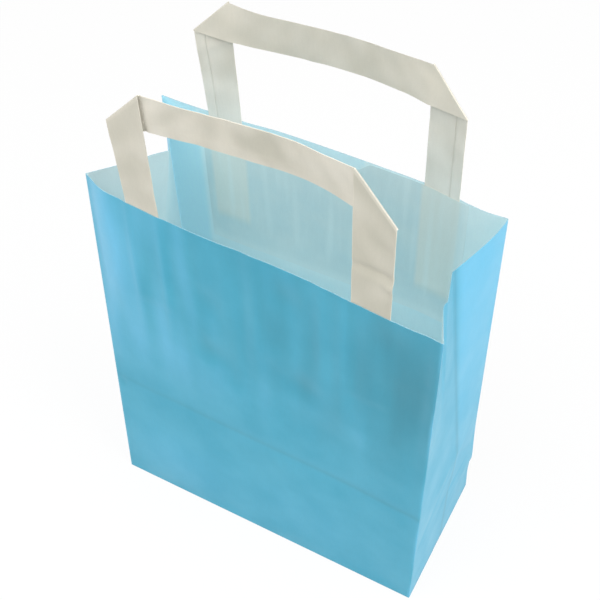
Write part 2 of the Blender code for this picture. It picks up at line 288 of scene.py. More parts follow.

# Painted light and shade on a gusset: how much paler it is painted anywhere and at its rear top, and
# the ramp in mm behind the crease; the painted shade line behind the crease (amount, middle and reach in
# mm)
GUSSET_PAINTED_LIGHT = (0.30, 0.65, 8.0)
GUSSET_SHADE_LINE = (0.9, 1.6, 1.6)

# Corner edges rubbed by handling: amount, reach in mm, and the lengths of its patches in steps of
# the grid around the bag and in metres up
EDGE_RUBBED = (0.7, 0.9)
RUBBED_PATCHES = (0.05, 0.020)

# How blue the inside is painted, for the light that comes through the print: on the front and
# gussets, the bottom, the back panel with its most beside the patch, and the share of that below the
# patch and above it
INSIDE_TINT = 0.2
BOTTOM_TINT = 0.3
BACK_TINT = (0.15, 0.85)
TINT_BELOW_PATCH = 0.2
TINT_ABOVE_PATCH = 0.5

# Painted shade on the left gusset's inside, which no light comes through: at its rear and its gain to the
# front, over what share
LEFT_GUSSET_SHADE = (0.4, 0.6, 0.6)

# How much darker each stretch of a tape is, its smudges (mean, noise, length along, waves across
# and amount by side), and the darker place where the front bar is held (middle, reach and amount)
TAPE_DARKER_STRETCHES = {
    -1: {"bar": 0.36, "left": 0.55, "right": 0.80},
    1: {"bar": 0.35, "left": 0.30, "right": 0.0},
}
SMUDGES = (0.5, 1.2, 0.011, 1.6)
SMUDGE_AMOUNT = {-1: 0.30, 1: 0.25}
HELD_PLACE = (9.0, 9.0, 0.55, 0.40, 0.75)
BACK_LEFT_DARKER_FROM = (10.0, 20.0)

# Paler edges of a tape, rubbed and with a painted highlight (mean, noise, length in rows and waves
# across, and amount), the painted light through the foot of the back handle's legs (least, gain and
# height in mm), and the darker line along its seams
TAPE_EDGE_WEAR_AND_HIGHLIGHT = (0.6, 0.8, 0.11, 3.0, 0.6)
LIT_FOOT = (0.4, 0.6, 40.0)
SEAM_DARK_LINE = {"left": 0.2, "right": 0.9}

# Above the rim, a tape's own crinkles and dents start over this height
FREE_RAMP = 0.010

# A patch blends with the sheet at its foot and right edge: (amount, share of its height) pairs,
# the amount at the right, and its glue streaks (amount, length across and length up)
PATCH_FOOT_BLENDS = ((0.4, 0.30), (0.8, 0.14))
PATCH_RIGHT_BLEND = 0.8
PATCH_STREAKS = (0.5, 0.004, 0.060)

BLUE_PRINT = "#39A9C6"
BLUE_PRINT_DENSE = "#34A3C0"
# Painted shade: the print where less light falls or comes through, in dents, creases and over the patch
# and legs
BLUE_PAINTED_SHADE = "#268DA4"
# Painted light and real wear: the print paler where light catches it and where corners are rubbed
BLUE_LIT_AND_WORN = "#66C0E4"
INSIDE_PALE = "#E6F7F8"
INSIDE_CLOUD = "#DEF3F6"
# Painted light: the inside's blue where light comes through the print
INSIDE_BLUE = "#C2EDF9"
CUT_EDGE = "#93BECC"
TAPE_PAPER = "#EDE8DC"
TAPE_CLOUD = "#E7E1D3"
# Painted light: the tape where light comes through it from behind
TAPE_LIT_THROUGH = "#FAF8EF"
TAPE_SOIL = "#C4C1B2"
# Partly a painted highlight: the tape's paler, rubbed edges
TAPE_WORN_AND_LIT = "#EEE9DB"
PATCH_PAPER = "#CDE2E4"
PATCH_CLOUD = "#C5DEE2"
PATCH_OVER_LEG = "#DBE5E0"
FLOOR_WHITE = "#F7F7F7"

# Painted shade for the inside of the left gusset, which no light comes through, and the daylight through
# thin paper
INSIDE_SHADED = "#C0D0D2"
THROUGH_PAPER = "#D0F0F8"

# Paper surfaces: refraction, how noise turns into colour, shade and roughness, how long fibres
# are for their width, and the strength of the bump
PAPER_IOR = 1.5
CLOUD_SPAN = (0.35, 0.65)
GRAIN_SPAN = (0.3, 0.7)
SHADE_SPAN = (0.975, 1.02)
ROUGHNESS_SPREAD = 0.06
FIBRE_STRETCH = (1.0, 1.0, 0.18)
BUMP_STRENGTH = 0.5

# The Mix node's sockets for colours
MIX_UNDER = 6
MIX_OVER = 7
MIX_RESULT = 2

# Light: the world's level, the lamps (place, size and watts), and how white the floor looks by itself
WORLD_LEVEL = 0.32
LAMPS = (
    ("high front softbox", (-0.35, -0.7, 1.5), 1.0, 13.0),
    ("top softbox", (0.1, 0.1, 1.6), 0.8, 4.0),
    ("high right softbox", (0.8, -0.1, 1.3), 0.8, 6.0),
    ("right softbox", (1.2, -0.2, 0.65), 0.8, 6.0),
    ("left softbox", (-0.6, -0.4, 0.5), 0.35, 0.5),
)
LAMP_TARGET = Vector((0.0, 0.0, 0.11))
FLOOR_GLOW = 0.92
FLOOR_REACH = 6.0
FLOOR_ROUGHNESS = 0.9
GLOW_THROUGH_PAPER = 0.065
GLOW_THROUGH_PATCH = 0.8

# Camera, found from the photograph's own corners
CAMERA_AZIMUTH = 28.04
CAMERA_ELEVATION = 46.49
CAMERA_PLACE = Vector((0.010756, 0.112137, 0.603962))
LENS_MM = 61.68
SENSOR_MM = 36.0
SHIFT = (-0.0261, -0.0278)


def to_linear(code):
    """An sRGB hex colour as the linear RGBA that shaders take."""
    parts = [int(code[i:i + 2], 16) / 255 for i in (1, 3, 5)]
    return (*(c / 12.92 if c <= 0.04045 else ((c + 0.055) / 1.055) ** 2.4 for c in parts), 1.0)


def add_node(tree, kind, links=(), **settings):
    """A node with its settings and its links: (input, source socket) pairs."""
    node = tree.nodes.new(kind)
    for name, value in settings.items():
        if name == "inputs":
            for key, given in value.items():
                node.inputs[key].default_value = given
        else:
            setattr(node, name, value)
    for key, source in links:
        tree.links.new(source, node.inputs[key])
    return node


def new_material(name, roughness):
    """A plain Principled material; every surface here is a matt or faintly glazed dielectric."""
    material = bpy.data.materials.new(name)
    material.use_nodes = True
    shader = material.node_tree.nodes["Principled BSDF"]
    shader.inputs["Roughness"].default_value = roughness
    shader.inputs["IOR"].default_value = PAPER_IOR
    return material, material.node_tree, shader


def mm_noise(tree, place, size_mm, detail=2.0, roughness=0.5):
    """Noise whose grains are about that many millimetres across."""
    settings = {"Scale": 1000.0 / size_mm, "Detail": detail, "Roughness": roughness}
    return add_node(tree, "ShaderNodeTexNoise", [("Vector", place)], inputs=settings).outputs["Fac"]


def map_range(tree, value, span, to=(0.0, 1.0)):
    """A socket's value, moved from one span to another."""
    ends = {"From Min": span[0], "From Max": span[1], "To Min": to[0], "To Max": to[1]}
    return add_node(tree, "ShaderNodeMapRange", [("Value", value)], inputs=ends).outputs["Result"]


def mix_colours(tree, factor, under, over):
    """Two colours, each a socket or an sRGB hex colour, mixed by a factor."""
    mixed = add_node(tree, "ShaderNodeMix", [("Factor", factor)], data_type="RGBA")
    for key, colour in ((MIX_UNDER, under), (MIX_OVER, over)):
        if isinstance(colour, str):
            mixed.inputs[key].default_value = to_linear(colour)
        else:
            tree.links.new(colour, mixed.inputs[key])
    return mixed.outputs[MIX_RESULT]


def paper_material(
    name, light, dark, roughness, cloud_mm, fibre_mm, grain_mm, bump_mm, marks=(), glow=0.0,
):
    """Paper with cloudy formation, long fibres and fine grain.

    marks are (attribute, colour): where the piece's attribute is 1, the paper takes that colour.
    glow is the daylight that comes through a thin sheet from its other side.
    """
    material, tree, shader = new_material(name, roughness)
    shader.inputs["Emission Color"].default_value = to_linear(THROUGH_PAPER)
    shader.inputs["Emission Strength"].default_value = glow
    place = add_node(tree, "ShaderNodeTexCoord").outputs["Object"]
    cloud = mm_noise(tree, place, cloud_mm, 3.0)
    tone = mix_colours(tree, map_range(tree, cloud, CLOUD_SPAN), light, dark)
    for attribute, marked in marks:
        where = add_node(tree, "ShaderNodeAttribute", attribute_name=attribute).outputs["Fac"]
        tone = mix_colours(tree, where, tone, marked)
    along = add_node(
        tree, "ShaderNodeMapping", [("Vector", place)], inputs={"Scale": FIBRE_STRETCH},
    ).outputs["Vector"]
    fibres = mm_noise(tree, along, fibre_mm, 2.0)
    grain = mm_noise(tree, place, grain_mm, 1.0)
    speck = add_node(
        tree, "ShaderNodeMix", [("A", fibres), ("B", grain)], data_type="FLOAT", inputs={"Factor": 0.5},
    ).outputs[0]
    shade = map_range(tree, speck, GRAIN_SPAN, SHADE_SPAN)
    scaled = add_node(tree, "ShaderNodeVectorMath", [(0, tone), ("Scale", shade)], operation="SCALE")
    tree.links.new(scaled.outputs["Vector"], shader.inputs["Base Color"])
    rough_span = (roughness - ROUGHNESS_SPREAD, roughness + ROUGHNESS_SPREAD)
    tree.links.new(map_range(tree, cloud, GRAIN_SPAN, rough_span), shader.inputs["Roughness"])
    bump = add_node(
        tree, "ShaderNodeBump", [("Height", speck)],
        inputs={"Strength": BUMP_STRENGTH, "Distance": bump_mm * MM},
    )
    tree.links.new(bump.outputs["Normal"], shader.inputs["Normal"])
    return material


def make_papers():
    """Every paper of the bag, by the name of its place."""
    return {
        # Machine-glazed kraft paper, flood printed in one blue: even colour, soft sheen
        "outside": paper_material(
            "printed_machine_glazed_paper", BLUE_PRINT, BLUE_PRINT_DENSE, 0.42,
            cloud_mm=22.0, fibre_mm=1.2, grain_mm=0.7, bump_mm=0.03,
            # Painted shade in dents, creases and over the patch and legs; painted light on swellings, at
            # the front's upper left and on the gussets; real wear at the corners
            marks=(("shade_and_streaks", BLUE_PAINTED_SHADE), ("lit_and_worn", BLUE_LIT_AND_WORN)),
        ),
        # Its unprinted side: thin white paper with the blue showing through, quite matt
        "inside": paper_material(
            "unprinted_side_of_thin_paper", INSIDE_PALE, INSIDE_CLOUD, 0.70,
            cloud_mm=18.0, fibre_mm=1.2, grain_mm=0.7, bump_mm=0.03,
            # Painted light: bluer where light comes through the print; painted shade on the left gusset
            marks=(("tint", INSIDE_BLUE), ("soil_and_shade", INSIDE_SHADED)), glow=GLOW_THROUGH_PAPER,
        ),
        # The guillotined rim: bare fibres, with the print's blue at one side
        "edge": paper_material(
            "cut_paper_edge", CUT_EDGE, CUT_EDGE, 0.85,
            cloud_mm=3.0, fibre_mm=0.8, grain_mm=0.5, bump_mm=0.05,
        ),
        # Uncoated off-white kraft, folded flat to a stiff tape: chalky, with faint fibres
        "tape": paper_material(
            "folded_kraft_tape", TAPE_PAPER, TAPE_CLOUD, 0.78,
            cloud_mm=16.0, fibre_mm=1.0, grain_mm=0.6, bump_mm=0.05,
            # Painted light through the back legs' foot; darker stretches and smudges; edges rubbed and
            # with a painted highlight
            marks=(("tint", TAPE_LIT_THROUGH), ("soil_and_shade", TAPE_SOIL), ("lit_and_worn", TAPE_WORN_AND_LIT)),
        ),
        # Thin uncoated patch, damp-wrinkled by its glue, tinted by the print behind it: the blue is
        # painted light that comes through the print
        "patch": paper_material(
            "glued_paper_patch", PATCH_PAPER, PATCH_CLOUD, 0.75,
            cloud_mm=16.0, fibre_mm=1.0, grain_mm=0.6, bump_mm=0.04,
            # Painted light: over a leg, paler and less blue, as the tape keeps the print's light from
            # coming through
            marks=(("shade_and_streaks", PATCH_OVER_LEG), ("tint", INSIDE_PALE)),
            glow=GLOW_THROUGH_PAPER * GLOW_THROUGH_PATCH,
        ),
    }


def divide(stops, step):
    """All the stops in order, with even steps no longer than `step` between them."""
    stops = sorted(stops)
    places = [stops[0]]
    for low, high in zip(stops, stops[1:]):
        count = max(1, ceil((high - low) / step - 1e-6))
        places += [low + (high - low) * i / count for i in range(1, count + 1)]
    return places


def smooth_curve(points, at):
    """A smooth line through (place, value) points, level past both ends."""
    at = min(max(at, points[0][0]), points[-1][0])
    i = 0
    while i < len(points) - 2 and at > points[i + 1][0]:
        i += 1

    def slope(k):
        low, high = max(k - 1, 0), min(k + 1, len(points) - 1)
        return (points[high][1] - points[low][1]) / (points[high][0] - points[low][0])

    width = points[i + 1][0] - points[i][0]
    t = (at - points[i][0]) / width
    return (
        (2 * t**3 - 3 * t**2 + 1) * points[i][1] + (t**3 - 2 * t**2 + t) * width * slope(i)
        + (3 * t**2 - 2 * t**3) * points[i + 1][1] + (t**3 - t**2) * width * slope(i + 1)
    )


def bell(distance, reach):
    """A soft hump: 1 at no distance, nearly 0 past twice the reach."""
    return exp(-(distance / reach) ** 2)


def ease(share):
    """0 to 1 with a level start and end."""
    share = min(max(share, 0.0), 1.0)
    return share * share * (3 - 2 * share)


def leg_edges(side_sign):
    """Both edges of the left (-1) or right (+1) leg, measured from the panel's middle."""
    middle = HANDLE_OFFSET + side_sign * HANDLE_SPACING / 2
    return middle - TAPE_WIDTH / 2, middle + TAPE_WIDTH / 2


def over_leg(across, ramp):
    """1 over a leg of the handle and 0 away from it, with a ramp outside each edge."""
    share = 0.0
    for x_sign in (-1, 1):
        low, high = leg_edges(x_sign)
        outside = max(low - across, across - high, 0.0)
        share = max(share, 1 - outside / ramp)
    return ease(share)


def corner(x_sign, y_sign, height):
    """A corner edge of the bag at one height: square at the base, leaning to the mouth."""
    foot = Vector((x_sign * PANEL_WIDTH / 2, y_sign * GUSSET_DEPTH / 2, height))
    point = foot + CORNER_LEANS[x_sign, y_sign] * (height / PANEL_HEIGHT)
    if (x_sign, y_sign) == (1, 1):
        level = height / MM
        start, end, fade, out = REAR_EDGE_STEP
        middle, reach, depth = REAR_EDGE_DIP
        step = out * ease((level - start) / (end - start)) * bell(max(level - end, 0.0), fade)
        point.x += (step - depth * bell(level - middle, reach)) * MM
    return point


def crease_dent(height):
    """How far the panel crease pulls a wide panel inwards at one height."""
    above = (height - PANEL_CREASE_HEIGHT) / (PANEL_HEIGHT - PANEL_CREASE_HEIGHT)
    below = (PANEL_CREASE_HEIGHT - height) / PANEL_CREASE_HEIGHT
    return PANEL_CREASE_DENT * (1 - max(above, below))


def ripple(seed, across, height):
    """The slight unevenness of handled paper: a wave or two of a few centimetres."""
    move = 0.0
    for i, (wide, tall, rise) in enumerate(RIPPLES):
        move += rise * noise.noise(Vector((across / wide, height / tall, seed + 5.0 * i)))
    return move * MM


def panel_relief(y_sign, across, height):
    """Outward move of a wide panel away from its plain bowed sheet."""
    move = ripple(1.0 + y_sign, across, height)
    glued = ease((height - (PANEL_HEIGHT - LEG_GLUED_LENGTH)) / LEG_LIFT_RAMP)
    move += LEG_LIFT * over_leg(across, PATCH_RAMP) * glued
    if y_sign < 0:
        for at, level, reach, rise, depth in FRONT_DENTS:
            move += depth * MM * bell(across / MM - at, reach) * bell(height / MM - level, rise)
    right = across / (PANEL_WIDTH / 2)
    from_crease = hypot(height / MM - PANEL_CREASE_HEIGHT / MM, PANEL_CREASE_ROUNDING)
    depth, gain = PANEL_CREASE_DEPTH
    move -= (depth + gain * right) * MM * exp(-from_crease / (PANEL_CREASE_REACH + right))
    return move


def wide_panel_point(y_sign, across, height):
    """A point of the front (-1) or back (+1) panel's mid-surface."""
    share = across / PANEL_WIDTH + 0.5
    start = corner(-1, y_sign, height)
    end = corner(1, y_sign, height)
    bow = smooth_curve(RIM_BOWS[y_sign], share) * (height / PANEL_HEIGHT) ** BOW_RISE
    dent = crease_dent(height) * sin(pi * share)
    hold = ease(min(share, 1 - share) / PANEL_HOLD) * ease(height / FOOT_HOLD)
    out = bow - dent + panel_relief(y_sign, across, height) * hold
    return start.lerp(end, share) + Vector((0.0, y_sign * out, 0.0))


def gusset_crease(x_sign, height):
    """The gusset's centre crease: flat below the knee, pushed in above it."""
    if height < BOTTOM_FOLD_HEIGHT:
        move = Vector((0.0, 0.0, 0.0))
    elif height < KNEE_HEIGHT:
        rise = (height - BOTTOM_FOLD_HEIGHT) / (KNEE_HEIGHT - BOTTOM_FOLD_HEIGHT)
        move = CREASE_AT_KNEE[x_sign] * rise
    else:
        rise = (height - KNEE_HEIGHT) / (PANEL_HEIGHT - KNEE_HEIGHT)
        move = CREASE_AT_KNEE[x_sign].lerp(CREASE_AT_MOUTH[x_sign], rise)
    return Vector((x_sign * PANEL_WIDTH / 2, 0.0, height)) + move


def gusset_relief(x_sign, share, height):
    """Outward move of a gusset: the folds of the block bottom and a little unevenness."""
    depth_mm = (share - 0.5) * GUSSET_DEPTH / MM
    level = height / MM
    move = GUSSET_RIPPLE * ripple(7.0 + x_sign, (share - 0.5) * GUSSET_DEPTH, height)
    fold_height, reach, middle, spread = LEVEL_FOLD
    move -= GUSSET_FOLD_DEPTH * MM * bell(level - fold_height, reach) * bell(depth_mm - middle, spread)
    top, slope, reach = DIAGONAL_FOLDS
    start, ramp = DIAGONALS_START
    from_fold = level - (top - slope * abs(depth_mm))
    move -= GUSSET_FOLD_DEPTH * MM * bell(from_fold, reach) * ease((level - start) / ramp)
    return move


def gusset_point(x_sign, share, height):
    """A point of a side gusset, where share runs from the front edge to the back edge."""
    crease = gusset_crease(x_sign, height)
    start, span = GUSSET_BOW_START
    rise = ease((height / PANEL_HEIGHT - start) / span)
    if share < 0.5:
        half = share * 2
        point = corner(x_sign, -1, height).lerp(crease, half)
        bows = RIGHT_FRONT_HALF_BOW if x_sign > 0 else LEFT_FRONT_HALF_BOW
    else:
        half = share * 2 - 1
        point = crease.lerp(corner(x_sign, 1, height), half)
        bows = RIGHT_REAR_HALF_BOW if x_sign > 0 else LEFT_REAR_HALF_BOW
    hold = ease(min(half, 1 - half) / HALF_GUSSET_HOLD) * ease(height / FOOT_HOLD)
    point.x -= x_sign * smooth_curve(bows, half) * rise
    point.x += x_sign * gusset_relief(x_sign, share, height) * hold
    return point


def inside_point(y_sign, across, height, offset):
    """A point `offset` inwards from a wide panel's mid-surface, square to it."""
    along = wide_panel_point(y_sign, across + SLOPE_STEP, height)
    along -= wide_panel_point(y_sign, across - SLOPE_STEP, height)
    upward = wide_panel_point(y_sign, across, height)
    upward -= wide_panel_point(y_sign, across, height - SLOPE_STEP)
    normal = along.cross(upward).normalized()
    if normal.y * y_sign > 0:
        normal.negate()
    return wide_panel_point(y_sign, across, height) + normal * offset


def place_grid(bm, columns, rows, place):
    """A grid of faces whose corner (i, j) goes to place(i, j): (point, uv, marks by name)."""
    uv_layer = bm.loops.layers.uv.verify()
    layers = {name: bm.verts.layers.float.get(name) or bm.verts.layers.float.new(name) for name in MARKS}
    verts = bmesh.ops.create_grid(bm, x_segments=columns, y_segments=rows, size=1.0)["verts"]
    uvs = {}
    for vert in verts:
        i = round((vert.co.x + 1) / 2 * columns)
        j = round((vert.co.y + 1) / 2 * rows)
        vert.co, uvs[vert], marks = place(i, j)
        for mark, value in marks.items():
            vert[layers[mark]] = value
    for face in {face for vert in verts for face in vert.link_faces}:
        for loop in face.loops:
            loop[uv_layer].uv = uvs[loop.vert]
    return verts


def finish_piece(name, bm, wall, materials, fold_radius=0.0):
    """Give an open sheet its wall, and its outer, inner and edge materials."""
    bmesh.ops.remove_doubles(bm, verts=bm.verts, dist=SAME_PLACE)
    bmesh.ops.recalc_face_normals(bm, faces=bm.faces)
    if fold_radius:
        folds = [
            edge for edge in bm.edges
            if len(edge.link_faces) == 2 and edge.calc_face_angle() > ROUNDED_FOLD_ANGLE
        ]
        bmesh.ops.bevel(
            bm, geom=folds, offset=fold_radius, segments=2, profile=0.5, affect="EDGES", material=-1,
        )
    mesh = bpy.data.meshes.new(name)
    bm.to_mesh(mesh)
    bm.free()
    piece = bpy.data.objects.new(name, mesh)
    bpy.context.scene.collection.objects.link(piece)
    for material in materials:
        mesh.materials.append(material)
    solid = piece.modifiers.new("paper wall", "SOLIDIFY")
    solid.thickness = wall
    solid.offset = 0.0
    solid.use_even_offset = True
    solid.material_offset = 1
    solid.material_offset_rim = 2
    finished = bpy.data.meshes.new_from_object(
        piece.evaluated_get(bpy.context.evaluated_depsgraph_get()), preserve_all_data_layers=True,
        depsgraph=bpy.context.evaluated_depsgraph_get(),
    )
    piece.modifiers.clear()
    piece.data = finished
    finished.name = name
    finished.shade_smooth()
    finished.set_sharp_from_angle(angle=SHARP_ANGLE)
    return piece


def patch_top(y_sign, across):
    """Height of the upper edge of a patch."""
    left, right = PATCH_BELOW_RIM[y_sign]
    return PANEL_HEIGHT - left - (right - left) * ease((across - PATCH_KINK) / PATCH_KINK_WIDTH + 0.5)


def print_painted_shading(y_sign, across, height):
    """How much painted shade a wide panel's print takes over its average, with its streaks; negative for
    painted light.

    It is painted darker where the legs and the patch lie behind it and let less light through, darker in
    the dents and paler on the swellings, and paler at the front's upper left.
    """
    top = patch_top(y_sign, across)
    outside = max(abs(across - HANDLE_OFFSET) - PATCH_WIDTH / 2, top - PATCH_HEIGHT - height, 0.0)
    glued = ease((height - (PANEL_HEIGHT - LEG_GLUED_LENGTH)) / PATCH_END_RAMP)
    # Painted shade: darker over the patch and the legs, where less light comes through
    painted_shading = SHADE_OVER_PATCH * ease(1 - outside / PATCH_END_RAMP)
    painted_shading += SHADE_OVER_LEG * over_leg(across, PATCH_RAMP) * glued
    if y_sign < 0:
        # Painted shade in the dents and painted light on the swellings
        for at, level, reach, rise, depth in FRONT_DENTS:
            dent = bell(across / MM - at, reach) * bell(height / MM - level, rise)
            painted_shading -= SHADE_AND_LIGHT_PER_DENT_MM * depth * dent
        # Painted light: paler at the front's upper left
        rubbed, from_left, left_ramp, from_level, level_ramp = PAINTED_LIGHT_LEFT
        left = ease((-across / MM - from_left) / left_ramp)
        painted_shading -= rubbed * left * ease((height / MM - from_level) / level_ramp)
    amount, wide, tall, ramp = PRINT_STREAKS
    streaks = noise.noise(Vector((across / wide, height / tall, 9.0 + y_sign)))
    return painted_shading + amount * streaks * ease((height - PANEL_CREASE_HEIGHT) / ramp)


def single_layer(y_sign, across, height):
    """How blue the inside looks: most on the back panel beside its patch, where light comes through."""
    if y_sign < 0:
        return INSIDE_TINT
    top = patch_top(y_sign, across)
    left = ease((HANDLE_OFFSET - PATCH_WIDTH / 2 - across) / (2 * PATCH_RAMP))
    low = TINT_BELOW_PATCH * ease((top - PATCH_HEIGHT - height) / (4 * PATCH_RAMP))
    above = TINT_ABOVE_PATCH if top < height and across < PATCH_KINK else 0.0
    least, gain = BACK_TINT
    return least + gain * max(left, low, above)


def wide_panel_marks(y_sign, across, height):
    """The marks on a wide panel at one place."""
    painted_shading = print_painted_shading(y_sign, across, height)
    above = (height - PANEL_CREASE_HEIGHT) / MM
    middle, reach, amount, gain = CREASE_SHADE_BAND
    rubbed, highlight_middle, highlight_reach = CREASE_HIGHLIGHT
    # Painted shade in a band along the crease, and a painted highlight line below it
    crease_shade = (amount + gain * across / (PANEL_WIDTH / 2)) * bell(above - middle, reach)
    return {
        "shade_and_streaks": max(painted_shading, 0.0) + crease_shade,
        "lit_and_worn": max(-painted_shading, rubbed * bell(above - highlight_middle, highlight_reach)),
        "tint": single_layer(y_sign, across, height),
    }


def gusset_marks(x_sign, share, height):
    """The marks on a gusset at one place."""
    behind_crease = (share - 0.5) * GUSSET_DEPTH / MM
    # Painted light: the gusset paler, most at its rear top; painted shade in a line behind the crease
    rubbed, gain, ramp = GUSSET_PAINTED_LIGHT
    amount, middle, reach = GUSSET_SHADE_LINE
    # Painted shade on the left gusset's inside
    gusset_shade, gusset_shade_gain, gusset_shade_share = LEFT_GUSSET_SHADE
    return {
        "shade_and_streaks": amount * bell(behind_crease - middle, reach),
        "lit_and_worn": rubbed + gain * ease(behind_crease / ramp) * ease(height / PANEL_HEIGHT),
        "tint": INSIDE_TINT,
        "soil_and_shade": gusset_shade + gusset_shade_gain * ease(1 - share / gusset_shade_share) if x_sign < 0 else 0.0,
    }


def bottom_flap_rise(x, y):
    """Height of the block bottom's layers at one place: front flap lowest, then back flap, then ends."""
    ends = GUSSET_DEPTH / 2 - PANEL_WIDTH / 2
    front_flap = max(y - FLAP_OVERLAP, abs(x) + ends + y)
    end_triangle = abs(x) + ends - abs(y)
    rise = FLAP_RISE * ease(front_flap / FLAP_EDGE) + FLAP_RISE * ease(end_triangle / FLAP_EDGE)
    from_fold = min(PANEL_WIDTH / 2 - abs(x), GUSSET_DEPTH / 2 - abs(y))
    return rise * ease((from_fold - FLAP_FROM_FOLD) / FLAP_FROM_FOLD)


def shape_bottom_flaps(bm, verts):
    """Cut the edges of the bottom's flaps into its grid, and raise each layer."""
    apex = PANEL_WIDTH / 2 - GUSSET_DEPTH / 2
    lines = [((0.0, FLAP_OVERLAP), (0.0, 1.0))]
    lines += [((x_sign * apex, 0.0), (x_sign, y_sign)) for x_sign in (-1, 1) for y_sign in (-1, 1)]
    # Every list keeps the mesh's own order, so that each run gives the same mesh
    faces = list(dict.fromkeys(face for vert in verts for face in vert.link_faces))
    for (x, y), (normal_x, normal_y) in lines:
        for past in (0.0, FLAP_EDGE):
            normal = Vector((normal_x, normal_y, 0.0)).normalized()
            edges = dict.fromkeys(edge for face in faces for edge in face.edges)
            corners = dict.fromkeys(vert for face in faces for vert in face.verts)
            geom = faces + list(edges) + list(corners)
            place = Vector((x, y, 0.0)) + normal * past
            cut = bmesh.ops.bisect_plane(bm, geom=geom, dist=ON_CUT, plane_co=place, plane_no=normal)
            faces = [item for item in cut["geom"] if isinstance(item, bmesh.types.BMFace)]
    floor_verts = list(dict.fromkeys(vert for face in faces for vert in face.verts))
    for vert in floor_verts:
        vert.co.z += bottom_flap_rise(vert.co.x, vert.co.y)
    # Where a cut ends between two corners that the walls share, it is moved to the nearer one
    shared = [vert for vert in verts if vert.is_boundary]
    gridded = set(verts)
    ends = [vert for vert in floor_verts if vert.is_boundary and vert not in gridded]
    moves = {end: min(shared, key=lambda vert: (vert.co - end.co).length) for end in ends}
    bmesh.ops.weld_verts(bm, targetmap=moves)
    left = [vert for vert in floor_verts if vert.is_valid]
    bmesh.ops.remove_doubles(bm, verts=left, dist=FLAP_EDGE / 4)


def build_bag(papers):
    """The folded sheet: block bottom, two wide panels and two creased gussets."""
    wide = divide([-PANEL_WIDTH / 2, PANEL_WIDTH / 2], COLUMN_STEP)
    halves = divide([0.0, 0.5, 1.0], COLUMN_STEP / GUSSET_DEPTH)
    stops = [("wide", -1, u) for u in wide]
    stops += [("gusset", 1, s) for s in halves[1:]]
    stops += [("wide", 1, u) for u in wide[-2::-1]]
    stops += [("gusset", -1, s) for s in halves[-2::-1]]
    base = SHEET_THICKNESS / 2
    heights = [base, KNEE_HEIGHT, PANEL_HEIGHT]
    for fold in (BOTTOM_FOLD_HEIGHT, PANEL_CREASE_HEIGHT):
        heights += [fold + step * MM for step in CREASE_STEPS_MM]
    levels = divide(heights, LEVEL_STEP)
    bm = bmesh.new()

    def wall(i, j):
        kind, sign, where = stops[i]
        height = levels[j]
        if kind == "wide":
            point = wide_panel_point(sign, where, height)
            marks = wide_panel_marks(sign, where, height)
            from_corner = (0.5 - abs(where / PANEL_WIDTH)) * PANEL_WIDTH
        else:
            point = gusset_point(sign, where, height)
            marks = gusset_marks(sign, where, height)
            from_corner = (0.5 - abs(where - 0.5)) * GUSSET_DEPTH
        along, up = RUBBED_PATCHES
        rubbed = 0.5 + noise.noise(Vector((i * along, height / up, 2.0)))
        amount, reach = EDGE_RUBBED
        marks["lit_and_worn"] = max(marks["lit_and_worn"], amount * rubbed * bell(from_corner / MM, reach))
        if j == len(levels) - 1:
            point.z += RIM_TOOTH * (-1) ** i
        return point, (i * COLUMN_STEP, height), marks

    place_grid(bm, len(stops) - 1, len(levels) - 1, wall)

    def bottom(i, j):
        x, y = wide[i], (halves[j] - 0.5) * GUSSET_DEPTH
        return Vector((x, y, base)), (x, y), {"tint": BOTTOM_TINT}

    floor_verts = place_grid(bm, len(wide) - 1, len(halves) - 1, bottom)
    shape_bottom_flaps(bm, floor_verts)
    materials = [papers["outside"], papers["inside"], papers["edge"]]
    bag = finish_piece("bag_sheet", bm, SHEET_THICKNESS, materials, FOLD_RADIUS)
    for vertex in bag.data.vertices:
        vertex.co.z = max(vertex.co.z, 0.0)
    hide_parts("paper_bag")
    return bag


